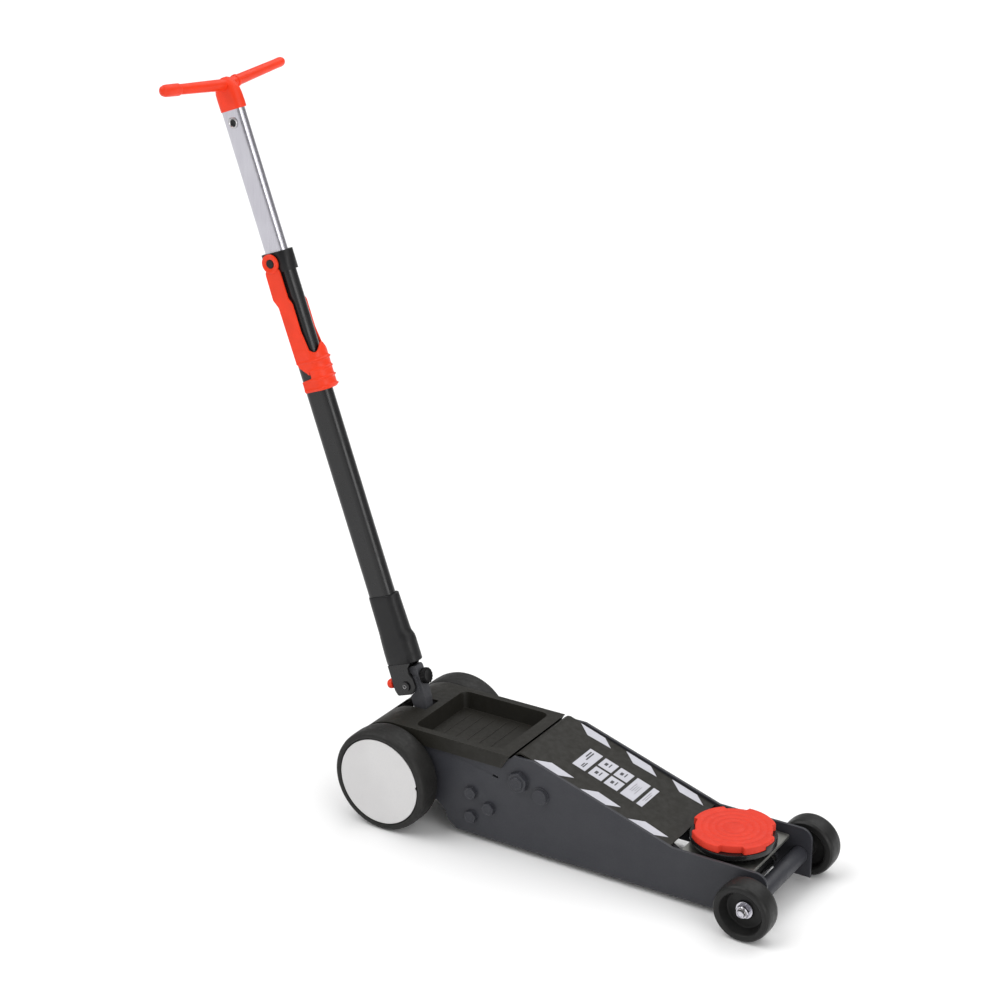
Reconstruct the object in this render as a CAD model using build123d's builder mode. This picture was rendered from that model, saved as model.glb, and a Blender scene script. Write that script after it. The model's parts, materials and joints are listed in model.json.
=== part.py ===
from build123d import *
import os
from math import cos, radians, sin

# Hydraulic trolley jack with a fold-back telescopic handle, a tool tray over
# the pump and a hinged cover plate that rides up with the lift arm.
# X runs forward from handle to saddle, Y across, Z up, floor at Z = 0.

# ---------------------------------------------------------------- dimensions
rear_axle_x = -139.4          # puts the origin under the middle of the jack
wheelbase = 575.0
rear_wheel_radius = 77.0
rear_wheel_width = 42.0
rear_wheel_inner_y = 79.0
front_wheel_radius = 42.0
front_wheel_width = 33.0
front_wheel_inner_y = 84.8

plate_outer_y = 73.0
plate_thickness = 4.0
plate_inner_y = plate_outer_y - plate_thickness
plate_top_z = 152.0
plate_nose_top_z = 82.5
plate_bottom_z = 9.0
running_gap = 0.05

pivot_x = rear_axle_x + 207.0
pivot_z = 115.0
saddle_x = rear_axle_x + 506.3
carrier_pin_z = 48.0
link_dx = 36.0                # link pins stand this far ahead of the arm pins
link_dz = -13.0
front_axle_x = rear_axle_x + wheelbase

crank_radius = 56.0
crank_rest_deg = 30.0         # crank hangs this far behind straight down

flap_hinge_z = 147.0
flap_slope_deg = 18.11
flap_height = 10.4            # top of the cover above its hinge, square to it
flap_thickness = 2.5
flap_front_x = rear_axle_x + 443.0
flap_half_width = 68.0

yoke_pin_x = rear_axle_x + 5.0
yoke_pin_z = 120.0
fold_x = rear_axle_x - 22.5
fold_z = 179.5
handle_lean_deg = 19.16

tray_top_z = 152.5
tray_floor_z = 128.0
cover_outer_y = 77.0
cover_wall = 3.0
barrel_radius = 75.5

tube_forward = -3.3           # tubes stand a little behind the fold pin
tube_depth = 43.5             # outer handle tube, fore and aft
tube_width = 23.0
tube_wall = 2.0
inner_depth = 38.0
inner_width = 17.0
sleeve_top = 138.5            # distances along the handle from the fold pin
collar_bottom = 628.0
collar_top = 657.0
hub_bottom = 862.5
bar_height = 898.0
bar_half_span = 135.9

crank_pin_x = pivot_x - crank_radius * sin(radians(crank_rest_deg))
crank_pin_z = pivot_z - crank_radius * cos(radians(crank_rest_deg))
sides = ((-1, "right"), (1, "left"))

lean = radians(handle_lean_deg)
handle_up = Vector(-sin(lean), 0, cos(lean))
handle_forward = Vector(cos(lean), 0, sin(lean))
handle_foot = Vector(fold_x, 0, fold_z)
handle_plane = Plane(origin=handle_foot, x_dir=handle_forward, z_dir=handle_up)
handle_side = Plane(origin=handle_foot, x_dir=handle_forward, z_dir=Vector(0, -1, 0))
tube_plane = Plane(
    origin=handle_foot + handle_forward * tube_forward, x_dir=handle_forward, z_dir=handle_up
)

os.makedirs("parts", exist_ok=True)


def save(builder, label):
    builder.part.label = label
    export_step(builder.part, f"parts/{label}.step")


def upright(y):
    """Plane standing at a given y, local x forward and local y up."""
    return Plane.XZ.offset(-y)


def outward(side, inner_y, outer_y):
    """Start plane and thickness of a slab between two distances from the middle."""
    start = inner_y if side < 0 else outer_y
    return upright(side * start), outer_y - inner_y


# ------------------------------------------------------------------ chassis
block_bolt_points = [
    (rear_axle_x + 127.5, 75.0),
    (rear_axle_x + 127.5, 37.0),
    (rear_axle_x + 157.8, 58.0),
]


def make_side_plate(side, label):
    plane, thickness = outward(side, plate_inner_y, plate_outer_y)
    tail_radius = 69.0
    tail_bottom = 47.0
    tail_x = rear_axle_x - (tail_radius**2 - (rear_wheel_radius - tail_bottom) ** 2) ** 0.5
    top_z = rear_wheel_radius + tail_radius
    with BuildPart() as plate:
        with BuildSketch(plane):
            with BuildLine():
                tail = Line((tail_x, tail_bottom), (rear_axle_x + 68, tail_bottom))
                Polyline(
                    tail @ 1,
                    (rear_axle_x + 84, 32),
                    (rear_axle_x + 88, 20),
                    (rear_axle_x + 103, plate_bottom_z),
                    (front_axle_x + 17, plate_bottom_z),
                    (front_axle_x + 17, plate_nose_top_z),
                    (rear_axle_x + 450, plate_nose_top_z),
                    (rear_axle_x + 232, plate_top_z),
                    (rear_axle_x + 198, plate_top_z),
                    (rear_axle_x + 192, top_z),
                    (rear_axle_x, top_z),
                )
                RadiusArc((rear_axle_x, top_z), tail @ 0, -tail_radius, short_sagitta=True)
            make_face()
            nose = vertices().group_by(Axis.X)[-1].sort_by(Axis.Y)
            fillet(nose[-1], 17)
            fillet(nose[0], 9)
            with Locations((rear_axle_x, rear_wheel_radius)):
                Circle(9, mode=Mode.SUBTRACT)
            with Locations((front_axle_x, front_wheel_radius)):
                Circle(6, mode=Mode.SUBTRACT)
            with Locations((yoke_pin_x, yoke_pin_z)):
                Circle(7, mode=Mode.SUBTRACT)
            with Locations((pivot_x, pivot_z)):
                Circle(8, mode=Mode.SUBTRACT)
            with Locations((pivot_x + link_dx, pivot_z + link_dz)):
                Circle(6, mode=Mode.SUBTRACT)
            with Locations(*block_bolt_points):
                Circle(5, mode=Mode.SUBTRACT)
            with Locations((rear_axle_x + 168, 112)):
                SlotOverall(10, 3.2, rotation=-12, mode=Mode.SUBTRACT)
        extrude(amount=thickness)
        rim = edges().filter_by(GeomType.LINE).filter_by(lambda e: abs(e.tangent_at(0).Y) < 0.5)
        chamfer(rim.group_by(SortBy.LENGTH)[-1], 0.8)
    save(plate, label)


for side, name in sides:
    make_side_plate(side, f"{name}_side_plate")


def make_cross_rod(radius, x, z, half_length, label, bore=0.0):
    with BuildPart() as rod:
        with BuildSketch(upright(half_length)):
            with Locations((x, z)):
                Circle(radius)
                if bore:
                    Circle(bore, mode=Mode.SUBTRACT)
        extrude(amount=2 * half_length)
        chamfer(edges().filter_by(GeomType.CIRCLE).group_by(SortBy.RADIUS)[-1], 0.8)
    save(rod, label)


make_cross_rod(12.25, front_axle_x, front_wheel_radius, plate_inner_y, "front_cross_tube", bore=6.0)
make_cross_rod(6.0, front_axle_x, front_wheel_radius, 115.0, "front_axle")
make_cross_rod(9.0, rear_axle_x, rear_wheel_radius, 114.0, "rear_axle")
make_cross_rod(7.0, yoke_pin_x, yoke_pin_z, plate_outer_y + 3, "yoke_shaft")
make_cross_rod(11.0, pivot_x, pivot_z, plate_inner_y, "pivot_shaft")
make_cross_rod(3.5, pivot_x, flap_hinge_z, plate_inner_y, "cover_hinge_rod")


def make_ring_pair(inner, outer, x, z, near, far, label):
    """Two equal rings on a cross axis, one on each side."""
    with BuildPart() as rings:
        for side, _ in sides:
            plane, thickness = outward(side, near, far)
            with BuildSketch(plane):
                with Locations((x, z)):
                    Circle(outer)
                    Circle(inner, mode=Mode.SUBTRACT)
            extrude(amount=thickness)
    save(rings, label)


make_ring_pair(9.0, 13.0, rear_axle_x, rear_wheel_radius, 110.4, 112.4, "rear_axle_clips")


with BuildPart() as spacers:
    for side, _ in sides:
        for x, z, bore, outer, far in (
            (rear_axle_x, rear_wheel_radius, 9.0, 14.0, 79.0),
            (front_axle_x, front_wheel_radius, 6.0, 10.0, 85.0),
        ):
            plane, thickness = outward(side, plate_outer_y, far)
            with BuildSketch(plane):
                with Locations((x, z)):
                    Circle(outer)
                    Circle(bore, mode=Mode.SUBTRACT)
            extrude(amount=thickness)
save(spacers, "axle_spacers")


def make_bolts(points, across_flats, height, turn_deg, flange, shank, label):
    """Flanged hexagon bolts on both side plates; flange is (radius, height), shank (radius, depth)."""
    near = plate_outer_y
    with BuildPart() as bolts:
        for side, _ in sides:
            plane, thickness = outward(side, near, near + height)
            with BuildSketch(plane):
                with Locations(*points):
                    RegularPolygon(across_flats / 2, 6, major_radius=False, rotation=turn_deg)
            extrude(amount=thickness)
            plane, thickness = outward(side, near, near + flange[1])
            with BuildSketch(plane):
                with Locations(*points):
                    Circle(flange[0])
            extrude(amount=thickness)
            plane, thickness = outward(side, near - shank[1], near)
            with BuildSketch(plane):
                with Locations(*points):
                    Circle(shank[0])
            extrude(amount=thickness)
    save(bolts, label)


pivot_point = (pivot_x, pivot_z)
make_bolts(block_bolt_points, 17.6, 6.0, 12.0, (10.2, 1.3), (5.0, 18.0), "block_bolts")
make_bolts([pivot_point], 28.0, 10.0, 20.0, (19.5, 2.4), (8.0, 4.0), "pivot_bolts")

with BuildPart() as front_nuts:
    for side, _ in sides:
        plane, thickness = outward(side, 104.4, 112.0)
        with BuildSketch(plane):
            with Locations((front_axle_x, front_wheel_radius)):
                RegularPolygon(9.0, 6, major_radius=False, rotation=15)
                Circle(6.0, mode=Mode.SUBTRACT)
        extrude(amount=thickness)
        plane, thickness = outward(side, 102.4, 104.4)
        with BuildSketch(plane):
            with Locations((front_axle_x, front_wheel_radius)):
                Circle(12.5)
                Circle(6.0, mode=Mode.SUBTRACT)
        extrude(amount=thickness)
save(front_nuts, "front_axle_nuts")

link_y = (50.0, 56.0)         # the links run between these distances from the middle
link_stud_radius = 6.0
with BuildPart() as link_studs:
    for side, _ in sides:
        for near, far, radius in (
            (link_y[0] - 2.4, link_y[0] - 0.4, 9.0),
            (link_y[0] - 0.4, plate_outer_y + 1, link_stud_radius),
            (link_y[1] + 0.4, plate_inner_y, 9.0),
            (plate_outer_y, plate_outer_y + 1.6, 13.0),
            (plate_outer_y, plate_outer_y + 5.2, 10.6),
        ):
            plane, thickness = outward(side, near, far)
            with BuildSketch(plane):
                with Locations((pivot_x + link_dx, pivot_z + link_dz)):
                    Circle(radius)
            extrude(amount=thickness)
save(link_studs, "link_studs")

# ----------------------------------------------------------- hydraulic unit
block_rear_x = rear_axle_x + 112.0
block_front_x = rear_axle_x + 164.0
block_middle_z = 60.0
ram_z = 64.0
ram_radius = 14.0
plunger_z = 104.0
plunger_radius = 7.0
plunger_boss_top = 117.0

with BuildPart() as pump_block:
    with BuildSketch(Plane.YZ.offset(block_rear_x)):
        with Locations((0, block_middle_z)):
            RectangleRounded(2 * plate_inner_y, 72, 5)
    extrude(amount=block_front_x - block_rear_x)
    with BuildSketch(Plane.YZ.offset(block_rear_x)):
        with Locations((0, (plunger_boss_top + 90) / 2)):
            RectangleRounded(40, plunger_boss_top - 90, 4)
    extrude(amount=40)
    with BuildSketch(Plane.YZ.offset(block_rear_x)):
        with Locations((0, ram_z)):
            Circle(ram_radius + running_gap)
    extrude(amount=block_front_x - block_rear_x, mode=Mode.SUBTRACT)
    with BuildSketch(Plane.YZ.offset(block_front_x)):
        with Locations((0, ram_z)):
            Circle(22)
    extrude(amount=-6, mode=Mode.SUBTRACT)
    with BuildSketch(Plane.YZ.offset(block_rear_x)):
        with Locations((0, plunger_z)):
            Circle(plunger_radius + running_gap)
    extrude(amount=28, mode=Mode.SUBTRACT)
    for side, _ in sides:
        plane, thickness = outward(side, plate_inner_y - 14, plate_inner_y)
        with BuildSketch(plane):
            with Locations(*block_bolt_points):
                Circle(5)
        extrude(amount=thickness, mode=Mode.SUBTRACT)
save(pump_block, "pump_block")

with BuildPart() as gland_nut:
    with BuildSketch(Plane.YZ.offset(block_front_x - 6)):
        with Locations((0, ram_z)):
            Circle(22)
            Circle(ram_radius + running_gap, mode=Mode.SUBTRACT)
    extrude(amount=6)
    with BuildSketch(Plane.YZ.offset(block_front_x)):
        with Locations((0, ram_z)):
            with PolarLocations(18, 4):
                Circle(1.8)
    extrude(amount=-2.5, mode=Mode.SUBTRACT)
save(gland_nut, "gland_nut")

reservoir_rear_x = rear_axle_x + 18.0
reservoir_radius = 29.0
with BuildPart() as reservoir:
    with BuildSketch(Plane.YZ.offset(reservoir_rear_x)):
        with Locations((0, ram_z)):
            Circle(reservoir_radius)
    extrude(amount=8)
    fillet(edges().filter_by(GeomType.CIRCLE).group_by(Axis.X)[0], 2)
    with BuildSketch(Plane.YZ.offset(reservoir_rear_x + 8)):
        with Locations((0, ram_z)):
            Circle(reservoir_radius)
            Circle(reservoir_radius - 3, mode=Mode.SUBTRACT)
    extrude(amount=block_rear_x - reservoir_rear_x - 8)
    with BuildSketch(Plane.YZ.offset(reservoir_rear_x)):
        with Locations((0, ram_z)):
            RegularPolygon(9, 6)
    extrude(amount=-5)
save(reservoir, "reservoir")

with BuildPart() as cylinder:
    with BuildSketch(Plane.YZ.offset(reservoir_rear_x + 8)):
        with Locations((0, ram_z)):
            Circle(ram_radius + 5)
            Circle(ram_radius + 0.6, mode=Mode.SUBTRACT)
    extrude(amount=block_rear_x - reservoir_rear_x - 8)
save(cylinder, "ram_cylinder")

barrel_rear_x = rear_axle_x + 72.0
with BuildPart() as plunger_barrel:
    with BuildSketch(Plane.YZ.offset(barrel_rear_x)):
        with Locations((0, plunger_z)):
            Circle(10.5)
            Circle(plunger_radius + running_gap, mode=Mode.SUBTRACT)
    extrude(amount=block_rear_x - barrel_rear_x)
    chamfer(edges().filter_by(GeomType.CIRCLE).group_by(Axis.X)[0].sort_by(SortBy.RADIUS)[-1], 1)
save(plunger_barrel, "plunger_barrel")

# plunger, pushed forward by the roller under the yoke
roller_radius = 7.0
plunger_rear_x = yoke_pin_x + roller_radius + 0.7
with BuildPart() as plunger:
    with BuildSketch(Plane.YZ.offset(plunger_rear_x)):
        with Locations((0, plunger_z)):
            Circle(plunger_radius)
    extrude(amount=rear_axle_x + 118 - plunger_rear_x)
    chamfer(edges().filter_by(GeomType.CIRCLE).group_by(Axis.X)[0], 0.6)
save(plunger, "pump_plunger")

# ram with the slotted head that drives the crank
head_half_width = 17.0
slot_half = 9.3
crank_roller_radius = 8.0
with BuildPart() as ram:
    with BuildSketch(Plane.YZ.offset(rear_axle_x + 50)):
        with Locations((0, ram_z)):
            Circle(ram_radius)
    extrude(amount=118)
    with BuildSketch(upright(head_half_width)):
        with Locations((crank_pin_x, ram_z + 1)):
            RectangleRounded(2 * slot_half + 11, 42, 4)
            SlotOverall(34, 2 * slot_half, rotation=90, mode=Mode.SUBTRACT)
    extrude(amount=2 * head_half_width)
save(ram, "ram")

# ----------------------------------------------------------------- lift arm
arm_inner_y = 40.0
arm_outer_y = 46.0
hub_radius = 16.0
arm_front_low = 64.5


def make_arm_plate(side, label):
    plane, thickness = outward(side, arm_inner_y, arm_outer_y)
    with BuildPart() as plate:
        with BuildSketch(plane):
            with Locations((pivot_x, pivot_z)):
                Circle(21)
            with Locations((saddle_x, carrier_pin_z)):
                Circle(11)
            with BuildLine():
                Polyline(
                    (pivot_x + 20.3, pivot_z + 5.3),
                    (pivot_x + 60, pivot_z + 5.0),
                    (rear_axle_x + 424, 79),
                    (rear_axle_x + 446, arm_front_low),
                    (saddle_x + 1.5, carrier_pin_z + 10.9),
                    (saddle_x - 2.5, carrier_pin_z - 10.7),
                    (rear_axle_x + 430, 42),
                    (pivot_x - 4, pivot_z - 20.6),
                    close=True,
                )
            make_face()
            with Locations((pivot_x, pivot_z)):
                Circle(hub_radius, mode=Mode.SUBTRACT)
            with Locations((saddle_x, carrier_pin_z)):
                Circle(8, mode=Mode.SUBTRACT)
        extrude(amount=thickness)
    save(plate, label)


for side, name in sides:
    make_arm_plate(side, f"{name}_arm_plate")

with BuildPart() as arm_hub:
    with BuildSketch(upright(66)):
        with Locations((pivot_x, pivot_z)):
            Circle(hub_radius)
            Circle(11 + running_gap, mode=Mode.SUBTRACT)
    extrude(amount=132)
save(arm_hub, "arm_hub")

with BuildPart() as cross_plates:
    for x, low, high in ((rear_axle_x + 298, 79, 109), (rear_axle_x + 414, 56, 76)):
        with BuildSketch(Plane.XY.offset(low)):
            with Locations((x + 4, 0)):
                Rectangle(8, 2 * arm_inner_y)
        extrude(amount=high - low)
save(cross_plates, "arm_cross_plates")

with BuildPart() as rest_pads:
    with BuildSketch(Plane.XY.offset(76)):
        with Locations((rear_axle_x + 418, 25), (rear_axle_x + 418, -25)):
            Circle(4)
    extrude(amount=7)
    fillet(edges().filter_by(GeomType.CIRCLE).group_by(Axis.Z)[-1], 1)
save(rest_pads, "cover_rest_pads")

crank_y = (20.0, 27.0)
with BuildPart() as crank:
    for side, _ in sides:
        plane, thickness = outward(side, *crank_y)
        with BuildSketch(plane):
            with Locations((pivot_x, pivot_z)):
                Circle(21)
            with Locations((crank_pin_x, crank_pin_z)):
                Circle(11)
            make_hull()
            with Locations((pivot_x, pivot_z)):
                Circle(hub_radius, mode=Mode.SUBTRACT)
            with Locations((crank_pin_x, crank_pin_z)):
                Circle(6, mode=Mode.SUBTRACT)
        extrude(amount=thickness)
save(crank, "crank_cheeks")
make_cross_rod(8.0, saddle_x, carrier_pin_z, arm_outer_y + 2, "carrier_pin")
with BuildPart() as crank_pin:
    for radius, half_width in ((6.0, crank_y[1] + 2), (crank_roller_radius, crank_y[0] - 0.5)):
        with BuildSketch(upright(half_width)):
            with Locations((crank_pin_x, crank_pin_z)):
                Circle(radius)
        extrude(amount=2 * half_width)
save(crank_pin, "crank_pin")


# -------------------------------------------------------------- level links
def make_link(side, label):
    plane, thickness = outward(side, *link_y)
    with BuildPart() as link:
        with BuildSketch(plane):
            with Locations(
                (pivot_x + link_dx, pivot_z + link_dz), (saddle_x + link_dx, carrier_pin_z + link_dz)
            ):
                Circle(9)
            make_hull()
            with Locations((pivot_x + link_dx, pivot_z + link_dz)):
                Circle(link_stud_radius + running_gap, mode=Mode.SUBTRACT)
            with Locations((saddle_x + link_dx, carrier_pin_z + link_dz)):
                Circle(5.6, mode=Mode.SUBTRACT)
        extrude(amount=thickness)
    save(link, label)


for side, name in sides:
    make_link(side, f"{name}_level_link")

# ------------------------------------------------------------ saddle carrier
carrier_half_width = 38.5
carrier_plate_z = 66.0
carrier_top = 70.0
stem_radius = 12.0
stem_bottom = 58.6
link_pin_x = saddle_x + link_dx
link_pin_z = carrier_pin_z + link_dz
with BuildPart() as carrier_block:
    with BuildSketch(upright(carrier_half_width)):
        with Locations((saddle_x, carrier_pin_z)):
            Circle(13)
        with Locations((link_pin_x, link_pin_z)):
            Circle(9)
        with Locations((saddle_x + 2, carrier_plate_z - 4)):
            Rectangle(36, 8)
        make_hull()
        with Locations((saddle_x, carrier_pin_z)):
            Circle(8 + running_gap, mode=Mode.SUBTRACT)
        with Locations((link_pin_x, link_pin_z)):
            Circle(5, mode=Mode.SUBTRACT)
    extrude(amount=2 * carrier_half_width)
    with BuildSketch(Plane.XY.offset(stem_bottom - 0.3)):
        with Locations((saddle_x, 0)):
            Circle(stem_radius + running_gap)
    extrude(amount=20, mode=Mode.SUBTRACT)
save(carrier_block, "carrier_block")

with BuildPart() as carrier_plate:
    with BuildSketch(Plane.XY.offset(carrier_plate_z)):
        with Locations(((rear_axle_x + 452 + rear_axle_x + 561) / 2, 0)):
            RectangleRounded(109, 132, 4)
        with Locations((saddle_x, 0)):
            Circle(stem_radius + running_gap, mode=Mode.SUBTRACT)
    extrude(amount=carrier_top - carrier_plate_z)
    chamfer(edges().group_by(Axis.Z)[-1].filter_by(GeomType.LINE), 0.7)
save(carrier_plate, "carrier_plate")
make_cross_rod(5.0, link_pin_x, link_pin_z, 57.5, "link_pin")

# ------------------------------------------------------------------- saddle
pad_top = 97.0
pad_bottom = 86.0
pad_radius = 59.0
dish_radius = 60.0
notch_count = 4
notch_angle = -67.5
notch_span = 34.0
dish_bottom = carrier_top + 0.3
with BuildPart() as dish:
    with BuildSketch(Plane(origin=(saddle_x, 0, 0), z_dir=(0, -1, 0), x_dir=(1, 0, 0))):
        with BuildLine():
            Polyline(
                (0, stem_bottom),
                (stem_radius, stem_bottom),
                (stem_radius, dish_bottom),
                (46, dish_bottom),
                (57, 76),
                (dish_radius, 79),
                (dish_radius, pad_bottom),
                (0, pad_bottom),
                close=True,
            )
        make_face()
    revolve(axis=Axis((saddle_x, 0, 0), (0, 0, 1)))
    with BuildSketch(Plane(origin=(saddle_x, 0, pad_bottom))):
        with PolarLocations(0, notch_count, start_angle=notch_angle):
            with BuildLine():
                outside = CenterArc((0, 0), dish_radius, -notch_span / 2, notch_span)
                inside = CenterArc((0, 0), 53.5, -notch_span / 2, notch_span)
                Line(inside @ 0, outside @ 0)
                Line(inside @ 1, outside @ 1)
            make_face()
    extrude(amount=5)
save(dish, "saddle_dish")

with BuildPart() as pad:
    with BuildSketch(Plane(origin=(saddle_x, 0, pad_bottom))):
        Circle(pad_radius)
        with PolarLocations(0, notch_count, start_angle=notch_angle):
            with BuildLine():
                outside = CenterArc((0, 0), dish_radius + 4, -notch_span / 2, notch_span)
                inside = CenterArc((0, 0), 53.4, -notch_span / 2, notch_span)
                Line(inside @ 0, outside @ 0)
                Line(inside @ 1, outside @ 1)
            make_face(mode=Mode.SUBTRACT)
    extrude(amount=pad_top - pad_bottom)
    with BuildSketch(Plane(origin=(saddle_x, 0, pad_top))):
        for ring in (15, 25, 35, 45):
            Circle(ring + 1)
            Circle(ring, mode=Mode.SUBTRACT)
    extrude(amount=-0.6, mode=Mode.SUBTRACT)
save(pad, "saddle_pad")

# ------------------------------------------------------- hinged cover plate
flap_slope = radians(flap_slope_deg)
flap_normal = (sin(flap_slope), cos(flap_slope))
flap_along = (cos(flap_slope), -sin(flap_slope))


def flap_point(along, height):
    """Point in the XZ plane, along the cover from its hinge and square to it."""
    return (
        pivot_x + along * flap_along[0] + height * flap_normal[0],
        flap_hinge_z + along * flap_along[1] + height * flap_normal[1],
    )


flap_length = (flap_front_x - pivot_x - flap_height * flap_normal[0]) / flap_along[0]
roll_end = radians(170)
roll_mid = radians(130)
flap_inner = flap_height - flap_thickness
with BuildPart() as flap:
    with BuildSketch(upright(flap_half_width)):
        with BuildLine():
            Line(flap_point(flap_length, flap_inner), flap_point(flap_length, flap_height))
            Line(flap_point(flap_length, flap_height), flap_point(0, flap_height))
            ThreePointArc(
                flap_point(0, flap_height),
                (pivot_x + flap_height * cos(roll_mid), flap_hinge_z + flap_height * sin(roll_mid)),
                (pivot_x + flap_height * cos(roll_end), flap_hinge_z + flap_height * sin(roll_end)),
            )
            Line(
                (pivot_x + flap_height * cos(roll_end), flap_hinge_z + flap_height * sin(roll_end)),
                (pivot_x + flap_inner * cos(roll_end), flap_hinge_z + flap_inner * sin(roll_end)),
            )
            ThreePointArc(
                (pivot_x + flap_inner * cos(roll_end), flap_hinge_z + flap_inner * sin(roll_end)),
                (pivot_x + flap_inner * cos(roll_mid), flap_hinge_z + flap_inner * sin(roll_mid)),
                flap_point(0, flap_inner),
            )
            Line(flap_point(0, flap_inner), flap_point(flap_length, flap_inner))
        make_face()
    extrude(amount=2 * flap_half_width)
    for side, _ in sides:
        plane, thickness = outward(side, flap_half_width - flap_thickness, flap_half_width)
        with BuildSketch(plane):
            with BuildLine():
                Polyline(
                    flap_point(12, flap_inner + 1),
                    flap_point(12, flap_inner - 2),
                    flap_point(20, flap_inner - 9),
                    flap_point(flap_length, flap_inner - 9),
                    flap_point(flap_length, flap_inner + 1),
                    close=True,
                )
            make_face()
        extrude(amount=thickness)
        plane, thickness = outward(side, 50, 58)
        with BuildSketch(plane):
            with Locations((pivot_x, flap_hinge_z)):
                Circle(flap_inner + 0.2)
                Circle(3.5 + running_gap, mode=Mode.SUBTRACT)
        extrude(amount=thickness)
save(flap, "lift_cover")

decal_height = 0.25
chevron_pitch = 78.5
flap_top_plane = Plane(
    origin=(flap_point(0, flap_height)[0], 0, flap_point(0, flap_height)[1]),
    x_dir=Vector(flap_along[0], 0, flap_along[1]),
    z_dir=Vector(flap_normal[0], 0, flap_normal[1]),
)
with BuildPart() as markings:
    with BuildSketch(flap_top_plane):
        for row in range(3):
            start = 17.5 + row * chevron_pitch
            for side, _ in sides:
                with BuildLine():
                    Polyline(
                        (start, side * 66),
                        (start + 21, side * 50),
                        (start + 60, side * 52),
                        (start + 42, side * 66),
                        close=True,
                    )
                make_face()
        for column, length in ((69.0, 21.5), (150.0, 22.0), (171.0, 9.5)):
            with Locations((column, 0)):
                Rectangle(length, 52)
        for column in (96.0, 122.5):
            with Locations((column, -14), (column, 14)):
                Rectangle(22.5, 23.5)
    extrude(amount=decal_height)
save(markings, "cover_markings")

# --------------------------------------------------------- rear cover, tray
tray_rear_x = rear_axle_x + 27.0
tray_front_x = rear_axle_x + 174.0
tray_half_width = 66.0
slot_rear_x = rear_axle_x - 44.0
slot_front_x = rear_axle_x + 14.0
slot_half_width = 17.5
cover_front_x = rear_axle_x + 194.0
skirt_bottom = 130.0


def barrel_point(radius, angle):
    return (rear_axle_x + radius * cos(radians(angle)), rear_wheel_radius + radius * sin(radians(angle)))


with BuildPart() as rear_cover:
    with BuildSketch(upright(cover_outer_y)):
        with BuildLine():
            crown = barrel_point(barrel_radius, 90)
            ThreePointArc(crown, barrel_point(barrel_radius, 135), barrel_point(barrel_radius, 193))
            Polyline(
                crown,
                (cover_front_x, tray_top_z),
                (cover_front_x - 14, skirt_bottom),
                (cover_front_x - 14, 50),
                (rear_axle_x - 60, 50),
                barrel_point(barrel_radius, 193),
            )
        make_face()
    extrude(amount=2 * cover_outer_y)
    inner_radius = barrel_radius - cover_wall
    with BuildSketch(upright(cover_outer_y - cover_wall)):
        with BuildLine():
            crown = barrel_point(inner_radius, 90)
            ThreePointArc(crown, barrel_point(inner_radius, 135), barrel_point(inner_radius, 193))
            Polyline(
                crown,
                (cover_front_x + 1, tray_top_z - cover_wall),
                (cover_front_x + 1, 40),
                (rear_axle_x - 80, 40),
                (rear_axle_x - 80, barrel_point(inner_radius, 193)[1]),
                barrel_point(inner_radius, 193),
            )
        make_face()
    extrude(amount=2 * (cover_outer_y - cover_wall), mode=Mode.SUBTRACT)
    for side, _ in sides:
        with BuildSketch(Plane.XY.offset(skirt_bottom)):
            with Locations((rear_axle_x + 60, side * (cover_outer_y - cover_wall + 5))):
                Rectangle(300, 10)
        extrude(amount=-100, mode=Mode.SUBTRACT)
    with BuildSketch(Plane.XY.offset(tray_top_z)):
        with Locations(((tray_rear_x + tray_front_x) / 2, 0)):
            RectangleRounded(tray_front_x - tray_rear_x + 6, 2 * tray_half_width + 6, 14)
    extrude(amount=-(tray_top_z - tray_floor_z + cover_wall), taper=10)
    with BuildSketch(Plane.XY.offset(tray_top_z)):
        with Locations(((tray_rear_x + tray_front_x) / 2, 0)):
            RectangleRounded(tray_front_x - tray_rear_x, 2 * tray_half_width, 11)
    extrude(amount=-(tray_top_z - tray_floor_z), taper=10, mode=Mode.SUBTRACT)
    with BuildSketch(Plane.XY.offset(tray_floor_z)):
        with GridLocations(20, 0, 6, 1):
            with Locations(((tray_rear_x + tray_front_x) / 2, 0)):
                Rectangle(1.6, 100)
    extrude(amount=0.7)
    with BuildSketch(Plane.XY.offset(tray_top_z)):
        with Locations(((slot_rear_x + slot_front_x) / 2, 0)):
            Rectangle(slot_front_x - slot_rear_x, 2 * slot_half_width)
    extrude(amount=-30, mode=Mode.SUBTRACT)
save(rear_cover, "rear_cover")

# ------------------------------------------------------- yoke and handle base
yoke_half_width = 8.5
boss_half_width = 10.7
cheek_inner_y = 11.0
cheek_outer_y = 15.0
hub_half_width = 20.0
fold_bolt_radius = 5.0


def handle_point(forward, up):
    """Point in the XZ plane from distances ahead of and along the handle axis."""
    place = handle_foot + handle_forward * forward + handle_up * up
    return (place.X, place.Z)


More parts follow.
